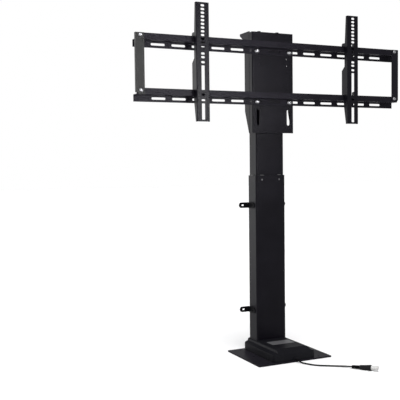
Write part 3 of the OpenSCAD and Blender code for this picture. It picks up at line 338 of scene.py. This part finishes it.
headBolt = {
    "node": "head_bolts", "body": "lift", "slot": "oxide_black",
    "corners": (0, 1), "out": (2, 1), "over": 9.4,
    "profile": [
        (0, -23), (3.6, -23), (4, -22.6), (4, 0),  # shank
        (9, 0), (9, 1.3), (8.7, 1.6), (7.4, 1.6),  # washer
        (7.5, 1.7, "hex"), (7.5, 8.4, "hex"), (6.3, 9.4), (4.2, 9.4), (4, 9.1), (0, 9.1),  # head
    ],
}
dome = {"steps": 7, "recessEdge": 0.3, "recessLip": 0.1, "drillTip": 0.4}
turned = {"sides": 36, "firstSpin": 17.0, "spinStep": 31.0}  # spins in degrees, one step on for each


# A domed head: an arc centred on the axis runs from the rim to the flat round the six-sided recess
def domeProfile(spec):
    shank, reach, chamfer = spec["shank"], spec["reach"], spec["chamfer"]
    head, rim, flat, over = spec["head"], spec["rim"], spec["flat"], spec["over"]
    centre = (head ** 2 - flat ** 2 + rim ** 2 - over ** 2) / (2 * (rim - over))
    radius = math.hypot(flat, over - centre)
    first = math.atan2(head, rim - centre)
    last = math.atan2(flat, over - centre)
    profile = [(0, -reach), (shank - chamfer, -reach), (shank, chamfer - reach), (shank, 0), (head, 0)]
    for k in range(dome["steps"] + 1):
        angle = first + (last - first) * k / dome["steps"]
        profile.append((radius * math.sin(angle), centre + radius * math.cos(angle)))
    drive = spec["drive"]
    bottom = over - spec["depth"]
    profile.append((drive + dome["recessEdge"], over))
    profile.append((drive, over - dome["recessLip"], "hex"))
    profile.append((drive, bottom, "hex"))
    return profile + [(0, bottom - dome["drillTip"])]


def seatsOf(spec):
    node = nodes[spec["node"]]
    low, high = (Vector(v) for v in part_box(spec["node"]))
    middle = (low + high) / 2
    corners = {}
    for v in node.data.vertices:
        place = node.matrix_world @ v.co
        key = tuple(place[a] > middle[a] for a in spec["corners"])
        corners.setdefault(key, []).append(place)
    axis, sense = spec["out"]
    seats = []
    for key in sorted(corners):
        least = [min(p[a] for p in corners[key]) for a in range(3)]
        most = [max(p[a] for p in corners[key]) for a in range(3)]
        seat = (Vector(least) + Vector(most)) / 2
        way = sense or (1 if seat[axis] > middle[axis] else -1)
        seat[axis] = (most[axis] if way > 0 else least[axis]) - way * spec["over"] / perMetre
        outward = Vector((0, 0, 0))
        outward[axis] = way
        seats.append((seat, outward))
    return seats


def seatMatrix(point, outward, spin):
    turn = outward.to_track_quat("Z", "Y").to_matrix().to_4x4()
    return Matrix.Translation(point) @ turn @ Matrix.Rotation(math.radians(spin), 4, "Z")


def makeFasteners():
    for name, spec in (("railBolts", railBolt), ("strapScrews", strapScrew), ("lugScrews", lugScrew),
                       ("glideScrews", glideScrew), ("headBolts", headBolt)):
        places = []
        for i, (seat, outward) in enumerate(seatsOf(spec)):
            places.append(seatMatrix(seat, outward, turned["firstSpin"] + turned["spinStep"] * i))
        profile = spec.get("profile") or domeProfile(spec)
        piece = lathePiece(name, profile, places, turned["sides"])
        takeOver(piece, spec["body"], spec["slot"], spec["node"])


makeFasteners()
print("stage: fasteners")


# Shader nodes, and the groups that all finishes share
def newGroup(name, inputs, outputs):
    group = bpy.data.node_groups.new(name, "ShaderNodeTree")
    for label, kind, value in inputs:
        socket = group.interface.new_socket(name=label, in_out="INPUT", socket_type=kind)
        socket.default_value = value
    for label, kind in outputs:
        group.interface.new_socket(name=label, in_out="OUTPUT", socket_type=kind)
    return group, group.nodes.new("NodeGroupInput"), group.nodes.new("NodeGroupOutput")


def feed(tree, socket, value):
    if hasattr(value, "links"):
        tree.links.new(value, socket)
    else:
        socket.default_value = value


noiseGrit = 0.55  # how rough the small octaves of every noise are


def noiseNode(tree, vector, scale, detail):
    made = tree.nodes.new("ShaderNodeTexNoise")
    made.inputs["Detail"].default_value = detail
    made.inputs["Roughness"].default_value = noiseGrit
    tree.links.new(vector, made.inputs["Vector"])
    feed(tree, made.inputs["Scale"], scale)
    return made.outputs["Fac"]


def rangeNode(tree, value, fromRange, toRange=(0.0, 1.0)):
    made = tree.nodes.new("ShaderNodeMapRange")
    made.inputs["From Min"].default_value, made.inputs["From Max"].default_value = fromRange
    made.inputs["To Min"].default_value, made.inputs["To Max"].default_value = toRange
    tree.links.new(value, made.inputs["Value"])
    return made.outputs["Result"]


def mathNode(tree, operation, *values):
    made = tree.nodes.new("ShaderNodeMath")
    made.operation = operation
    for socket, value in zip(made.inputs, values):
        feed(tree, socket, value)
    return made.outputs[0]


def vectorNode(tree, operation, a, b):
    made = tree.nodes.new("ShaderNodeVectorMath")
    made.operation = operation
    tree.links.new(a, made.inputs[0])
    tree.links.new(b, made.inputs[1])
    return made


def mixColour(tree, factor, a, b):
    made = tree.nodes.new("ShaderNodeMix")
    made.data_type = "RGBA"
    colours = [s for s in made.inputs if s.type == "RGBA"]
    tree.links.new(factor, made.inputs[0])
    for socket, value in zip(colours, (a, b)):
        feed(tree, socket, value if hasattr(value, "links") else (*value, 1.0))
    return [s for s in made.outputs if s.type == "RGBA"][0]


def splitVector(tree, vector):
    made = tree.nodes.new("ShaderNodeSeparateXYZ")
    tree.links.new(vector, made.inputs[0])
    return made.outputs


# Scales count per metre, and a range is where a noise begins to show and where it shows in full
grain = {
    "scale": 900.0, "detail": 3.0,
    "cloudScale": 9.0, "cloudDetail": 4.0, "cloudRange": (0.3, 0.7),
    "speckScale": 420.0, "speckDetail": 1.0, "speckRange": (0.68, 0.74),
}
edgeWear = {
    "radius": 0.0012, "samples": 4, "bendRange": (0.99, 0.86),
    "patchScale": 55.0, "patchDetail": 4.0, "patchRange": (0.42, 0.66), "patchShow": (0.1, 1.0),
}


def makeGrainGroup(spec):
    group, given, out = newGroup(
        "surfaceGrain",
        [("Scale", "NodeSocketFloat", spec["scale"]), ("Stretch", "NodeSocketVector", (1, 1, 1))],
        [("Height", "NodeSocketFloat"), ("Tone", "NodeSocketFloat"), ("Speck", "NodeSocketFloat")])
    place = group.nodes.new("ShaderNodeTexCoord").outputs["Object"]
    stretched = vectorNode(group, "MULTIPLY", place, given.outputs["Stretch"]).outputs["Vector"]
    fine = noiseNode(group, stretched, given.outputs["Scale"], spec["detail"])
    cloud = noiseNode(group, place, spec["cloudScale"], spec["cloudDetail"])
    speck = noiseNode(group, place, spec["speckScale"], spec["speckDetail"])
    group.links.new(fine, out.inputs["Height"])
    group.links.new(rangeNode(group, cloud, spec["cloudRange"]), out.inputs["Tone"])
    group.links.new(rangeNode(group, speck, spec["speckRange"]), out.inputs["Speck"])
    return group


def makeEdgeGroup(spec):
    group, given, out = newGroup(
        "edgeWear",
        [("Radius", "NodeSocketFloat", spec["radius"])],
        [("Mask", "NodeSocketFloat"), ("Normal", "NodeSocketVector")])
    soft = group.nodes.new("ShaderNodeBevel")
    soft.samples = spec["samples"]
    group.links.new(given.outputs["Radius"], soft.inputs["Radius"])
    plain = group.nodes.new("ShaderNodeNewGeometry")
    likeness = vectorNode(group, "DOT_PRODUCT", soft.outputs["Normal"], plain.outputs["Normal"])
    edge = rangeNode(group, likeness.outputs["Value"], spec["bendRange"])
    place = group.nodes.new("ShaderNodeTexCoord").outputs["Object"]
    patch = noiseNode(group, place, spec["patchScale"], spec["patchDetail"])
    worn = rangeNode(group, patch, spec["patchRange"], spec["patchShow"])
    group.links.new(mathNode(group, "MULTIPLY", edge, worn), out.inputs["Mask"])
    group.links.new(soft.outputs["Normal"], out.inputs["Normal"])
    return group


grainGroup = makeGrainGroup(grain)
edgeGroup = makeEdgeGroup(edgeWear)


def groupNode(tree, group, **values):
    made = tree.nodes.new("ShaderNodeGroup")
    made.node_tree = group
    for key, value in values.items():
        made.inputs[key].default_value = value
    return made.outputs


# "edge" is a worn edge's radius and "depth" the grain's height, in metres. The darkening of faces that
# look up or down is painted shade, standing in for the dim ceiling and floor that reflections would show.
# "clear" and "milky" let light into a pale plastic.
finishes = {
    "powder_black": {
        "dark": (0.0034, 0.003, 0.0049), "light": (0.0062, 0.0056, 0.0084),
        "grain": 1300.0, "bump": 0.25, "depth": 0.0003, "rough": (0.30, 0.42), "shine": 0.063,
        "speck": (0.015, 0.015, 0.018), "specks": 0.25,
        "edge": 0.0009, "worn": (0.035, 0.035, 0.039), "wear": 0.5,
    },
    "rail_black": {
        "dark": (0.0083, 0.0076, 0.0105), "light": (0.013, 0.012, 0.016),
        "grain": 1300.0, "bump": 0.25, "depth": 0.0003, "rough": (0.32, 0.44), "shine": 0.03,
        "speck": (0.022, 0.022, 0.025), "specks": 0.25,
        "edge": 0.0009, "worn": (0.03, 0.03, 0.033), "wear": 0.4,
    },
    "strap_grey": {
        "dark": (0.014, 0.014, 0.014), "light": (0.022, 0.022, 0.022),
        "grain": 1300.0, "bump": 0.25, "depth": 0.0003, "rough": (0.42, 0.58), "shine": 0.105,
        "speck": (0.07, 0.07, 0.07), "specks": 0.2,
        "edge": 0.0009, "worn": (0.12, 0.12, 0.12), "wear": 0.5,
    },
    "cover_black": {
        "dark": (0.0052, 0.0052, 0.0068), "light": (0.0084, 0.0084, 0.0105),
        "grain": 2600.0, "bump": 0.15, "depth": 0.0002, "rough": (0.40, 0.52), "shine": 0.05,
        "speck": (0.012, 0.012, 0.015), "specks": 0.2,
        "edge": 0.003, "worn": (0.02, 0.02, 0.024), "wear": 0.35,
    },
    "label_grey": {
        "dark": (0.095, 0.095, 0.101), "light": (0.14, 0.14, 0.147), "metal": 0.3,
        "grain": 500.0, "stretch": (0.05, 1, 1), "bump": 0.12, "depth": 0.0001, "rough": (0.38, 0.55),
        "speck": (0.15, 0.15, 0.15), "specks": 0.1,
        "edge": 0.0005, "worn": (0.4, 0.4, 0.4), "wear": 0.4,
    },
    "zinc": {
        "dark": (0.29, 0.29, 0.305), "light": (0.37, 0.37, 0.385), "metal": 1.0,
        # painted shade: the zinc heads turn dark where they face up or down, as if reflecting a dim
        # ceiling and floor
        "tiltShade": 0.9, "tiltShadeRange": (0.22, 0.58), "tiltShadeColour": (0.05, 0.05, 0.052),
        "grain": 700.0, "bump": 0.12, "depth": 0.0002, "rough": (0.38, 0.50),
        "speck": (0.25, 0.25, 0.27), "specks": 0.3,
        "edge": 0.0006, "worn": (0.5, 0.5, 0.5), "wear": 0.5,
    },
    "machined_steel": {
        "dark": (0.36, 0.37, 0.38), "light": (0.48, 0.49, 0.5), "metal": 1.0,
        "grain": 600.0, "stretch": (1, 1, 0.15), "bump": 0.15, "depth": 0.0002, "rough": (0.26, 0.42),
        "speck": (0.3, 0.3, 0.3), "specks": 0.3,
        "edge": 0.0006, "worn": (0.7, 0.7, 0.7), "wear": 0.4,
    },
    "case_aluminium": {
        "dark": (0.40, 0.41, 0.42), "light": (0.52, 0.53, 0.54), "metal": 1.0,
        "grain": 450.0, "bump": 0.35, "depth": 0.0004, "rough": (0.45, 0.65),
        "speck": (0.32, 0.32, 0.33), "specks": 0.4,
        "edge": 0.0012, "worn": (0.72, 0.72, 0.72), "wear": 0.5,
    },
    "bronze": {
        "dark": (0.50, 0.34, 0.13), "light": (0.62, 0.44, 0.19), "metal": 1.0,
        "grain": 650.0, "bump": 0.12, "depth": 0.0002, "rough": (0.28, 0.45),
        "speck": (0.36, 0.24, 0.1), "specks": 0.3,
        "edge": 0.0006, "worn": (0.75, 0.58, 0.3), "wear": 0.4,
    },
    "dull_zinc": {
        "dark": (0.12, 0.12, 0.126), "light": (0.18, 0.18, 0.186), "metal": 1.0,
        "grain": 700.0, "bump": 0.12, "depth": 0.0002, "rough": (0.34, 0.5),
        "speck": (0.1, 0.1, 0.105), "specks": 0.3,
        "edge": 0.0006, "worn": (0.3, 0.3, 0.305), "wear": 0.5,
    },
    "oxide_black": {
        "dark": (0.003, 0.003, 0.0038), "light": (0.005, 0.005, 0.006),
        "grain": 900.0, "bump": 0.12, "depth": 0.0002, "rough": (0.42, 0.56), "shine": 0.04,
        "speck": (0.012, 0.012, 0.013), "specks": 0.3,
        "edge": 0.0006, "worn": (0.03, 0.03, 0.032), "wear": 0.4,
    },
    "glide_grey": {
        "dark": (0.045, 0.045, 0.046), "light": (0.06, 0.06, 0.061),
        "grain": 900.0, "bump": 0.1, "depth": 0.0002, "rough": (0.36, 0.5), "shine": 0.2,
        "speck": (0.08, 0.08, 0.08), "specks": 0.2,
        "edge": 0.0006, "worn": (0.1, 0.1, 0.1), "wear": 0.3,
    },
    "housing_white": {
        "dark": (0.71, 0.71, 0.70), "light": (0.79, 0.79, 0.78),
        "clear": 0.35, "milky": 0.3, "milkReach": (0.004, 0.004, 0.004), "milkScale": 0.4,
        "grain": 900.0, "bump": 0.1, "depth": 0.0002, "rough": (0.30, 0.45),
        "speck": (0.68, 0.68, 0.67), "specks": 0.2,
        "edge": 0.0006, "worn": (0.83, 0.83, 0.82), "wear": 0.3,
    },
    "cord_black": {
        "dark": (0.0025, 0.0025, 0.0025), "light": (0.0045, 0.0045, 0.0045),
        "grain": 1500.0, "bump": 0.2, "depth": 0.0002, "rough": (0.55, 0.7), "shine": 0.01,
        "speck": (0.009, 0.009, 0.009), "specks": 0.3,
        "edge": 0.0005, "worn": (0.012, 0.012, 0.012), "wear": 0.3,
    },
    "plug_black": {
        "dark": (0.008, 0.008, 0.0088), "light": (0.012, 0.012, 0.0132),
        "grain": 1900.0, "bump": 0.15, "depth": 0.0002, "rough": (0.42, 0.56), "shine": 0.06,
        "speck": (0.016, 0.016, 0.016), "specks": 0.25,
        "edge": 0.0006, "worn": (0.025, 0.025, 0.025), "wear": 0.35,
    },
}
roughShare = {"tone": 0.6, "height": 0.4}  # what the clouds and the fine grain add to the roughness
plainShine = 0.5  # the shader's usual specular level, for metals and pale plastic


def surfaceColour(tree, spec, grainOut, edgeOut):
    base = mixColour(tree, grainOut["Tone"], spec["dark"], spec["light"])
    specks = mathNode(tree, "MULTIPLY", grainOut["Speck"], spec["specks"])
    specked = mixColour(tree, specks, base, spec["speck"])
    wear = mathNode(tree, "MULTIPLY", edgeOut["Mask"], spec["wear"])
    worn = mixColour(tree, wear, specked, spec["worn"])
    # Painted shade: faces that look up or down are darkened, standing in for a dim ceiling and floor in
    # reflections
    if "tiltShade" not in spec:
        return worn
    facing = splitVector(tree, tree.nodes.new("ShaderNodeNewGeometry").outputs["Normal"])
    tilt = mathNode(tree, "ABSOLUTE", facing["Z"])
    tiltShade = rangeNode(tree, tilt, spec["tiltShadeRange"], (0.0, spec["tiltShade"]))
    return mixColour(tree, tiltShade, worn, spec["tiltShadeColour"])


def surfaceRoughness(tree, spec, grainOut):
    tone = mathNode(tree, "MULTIPLY", grainOut["Tone"], roughShare["tone"])
    height = mathNode(tree, "MULTIPLY", grainOut["Height"], roughShare["height"])
    return rangeNode(tree, mathNode(tree, "ADD", tone, height), (0.0, 1.0), spec["rough"])


def surfaceNormal(tree, spec, grainOut, edgeOut):
    bump = tree.nodes.new("ShaderNodeBump")
    bump.inputs["Strength"].default_value = spec["bump"]
    bump.inputs["Distance"].default_value = spec["depth"]
    tree.links.new(grainOut["Height"], bump.inputs["Height"])
    tree.links.new(edgeOut["Normal"], bump.inputs["Normal"])
    return bump.outputs["Normal"]


def makeFinish(name, spec):
    mat = bpy.data.materials.new(name)
    mat.use_nodes = True
    tree = mat.node_tree
    sockets = tree.nodes["Principled BSDF"].inputs
    grainOut = groupNode(tree, grainGroup, Scale=spec["grain"], Stretch=spec.get("stretch", (1, 1, 1)))
    edgeOut = groupNode(tree, edgeGroup, Radius=spec["edge"])
    tree.links.new(surfaceColour(tree, spec, grainOut, edgeOut), sockets["Base Color"])
    tree.links.new(surfaceRoughness(tree, spec, grainOut), sockets["Roughness"])
    tree.links.new(surfaceNormal(tree, spec, grainOut, edgeOut), sockets["Normal"])
    sockets["Metallic"].default_value = spec.get("metal", 0.0)
    sockets["Specular IOR Level"].default_value = spec.get("shine", plainShine)
    if "milky" in spec:
        sockets["Transmission Weight"].default_value = spec["clear"]
        sockets["Subsurface Weight"].default_value = spec["milky"]
        sockets["Subsurface Radius"].default_value = spec["milkReach"]
        sockets["Subsurface Scale"].default_value = spec["milkScale"]
    return mat


materials = {name: makeFinish(name, spec) for name, spec in finishes.items()}
print("stage: materials,", len(materials))

# The rails and the base plate carry a flatter coat than the rest. The right strap gets this darker coat
# too, instead of the left strap's grey: painted shade on a twin of the left strap
flatCoatAndStrapShade = ("upper_rail", "lower_rail", "end_strap_right", "base_plate")


def dressPieces():
    slots = {row["node"]: row["material_slot"] for row in frame["record"]["subparts"]}
    for node in flatCoatAndStrapShade:
        slots[node] = "rail_black"
    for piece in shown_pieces():
        name = piece.get("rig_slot") or slots[piece["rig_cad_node"]]
        piece.data.materials.clear()
        piece.data.materials.append(materials[name])


dressPieces()

ground = {
    "reach": 20.0, "cells": 8, "level": -0.0006,
    "dark": (0.93, 0.93, 0.93), "light": (0.96, 0.96, 0.96), "cloudScale": 3.0, "cloudDetail": 3.0,
    "rough": 0.9, "shine": 0.1,
}


def makeFloor(spec):
    bm = bmesh.new()
    bmesh.ops.create_grid(bm, x_segments=spec["cells"], y_segments=spec["cells"], size=spec["reach"])
    for v in bm.verts:
        v.co.z = spec["level"]
    floor = finishMesh(bm, "floor")
    mat = bpy.data.materials.new("floor")
    mat.use_nodes = True
    tree = mat.node_tree
    sockets = tree.nodes["Principled BSDF"].inputs
    place = tree.nodes.new("ShaderNodeTexCoord").outputs["Object"]
    cloud = noiseNode(tree, place, spec["cloudScale"], spec["cloudDetail"])
    tree.links.new(mixColour(tree, cloud, spec["dark"], spec["light"]), sockets["Base Color"])
    sockets["Roughness"].default_value = spec["rough"]
    sockets["Specular IOR Level"].default_value = spec["shine"]
    floor.data.materials.append(mat)
    return floor


sunLamp = {"towards": (0.17, 0.34, -0.92), "strength": 2.95, "softness": 60.0}
# The fill is a narrow beam on the rails' left half, the near lamp stands beside the camera, the rim behind
boxLamps = {
    "fill": {
        "place": (0.42, -2.4, 0.98), "aim": (-0.37, 0.0, 1.09), "size": (0.6, 0.6),
        "power": 2.1, "spread": 24.0, "onFloor": False,
    },
    "near": {
        "place": (-1.7, -2.35, 1.1), "aim": (0.0, 0.0, 0.8), "size": (0.5, 0.5),
        "power": 14.0, "spread": 180.0, "onFloor": False,
    },
    "rim": {
        "place": (-1.9, 2.5, 1.0), "aim": (0.0, 0.1, 0.8), "size": (1.6, 2.4),
        "power": 34.0, "spread": 180.0, "onFloor": True,
    },
}


def hangLamp(name, data, towards):
    lamp = bpy.data.objects.new(name, data)
    lamp.rotation_mode = "QUATERNION"
    lamp.rotation_quaternion = towards.to_track_quat("-Z", "Y")
    scene.collection.objects.link(lamp)
    return lamp


def makeSun(spec):
    data = bpy.data.lights.new("sun", "SUN")
    data.energy = spec["strength"]
    data.angle = math.radians(spec["softness"])
    hangLamp("sun", data, Vector(spec["towards"]))


def makeBoxLamps(specs, floor):
    offFloor = bpy.data.collections.new("offFloor")
    offFloor.objects.link(floor)
    offFloor.collection_objects[0].light_linking.link_state = "EXCLUDE"
    for name, spec in specs.items():
        data = bpy.data.lights.new(name, "AREA")
        data.shape = "RECTANGLE"
        data.size, data.size_y = spec["size"]
        data.energy = spec["power"]
        data.spread = math.radians(spec["spread"])
        lamp = hangLamp(name, data, Vector(spec["aim"]) - Vector(spec["place"]))
        lamp.location = spec["place"]
        if not spec["onFloor"]:
            lamp.light_linking.receiver_collection = offFloor


# The studio is white to look at and in reflections, apart from a dim ceiling that only reflections show
studio = {
    "glow": (0.32, 0.32, 0.325), "white": (1.0, 1.0, 1.0),
    "ceiling": (0.12, 0.12, 0.12), "ceilingRise": (0.12, 0.45),
}


def makeWorld(spec):
    world = bpy.data.worlds.new("studio")
    world.use_nodes = True
    scene.world = world
    tree = world.node_tree
    ray = tree.nodes.new("ShaderNodeLightPath").outputs
    clear = mathNode(tree, "MAXIMUM", ray["Is Glossy Ray"], ray["Is Transmission Ray"])
    seen = mathNode(tree, "MAXIMUM", ray["Is Camera Ray"], clear)
    backdrop = mixColour(tree, seen, spec["glow"], spec["white"])
    heading = splitVector(tree, tree.nodes.new("ShaderNodeTexCoord").outputs["Generated"])
    overhead = rangeNode(tree, heading["Z"], spec["ceilingRise"])
    ceiling = mathNode(tree, "MULTIPLY", overhead, ray["Is Glossy Ray"])
    shown = mixColour(tree, ceiling, backdrop, spec["ceiling"])
    tree.links.new(shown, tree.nodes["Background"].inputs["Color"])


floorPiece = makeFloor(ground)
makeSun(sunLamp)
makeBoxLamps(boxLamps, floorPiece)
makeWorld(studio)
scene.view_settings.view_transform = "Standard"
print("stage: studio")
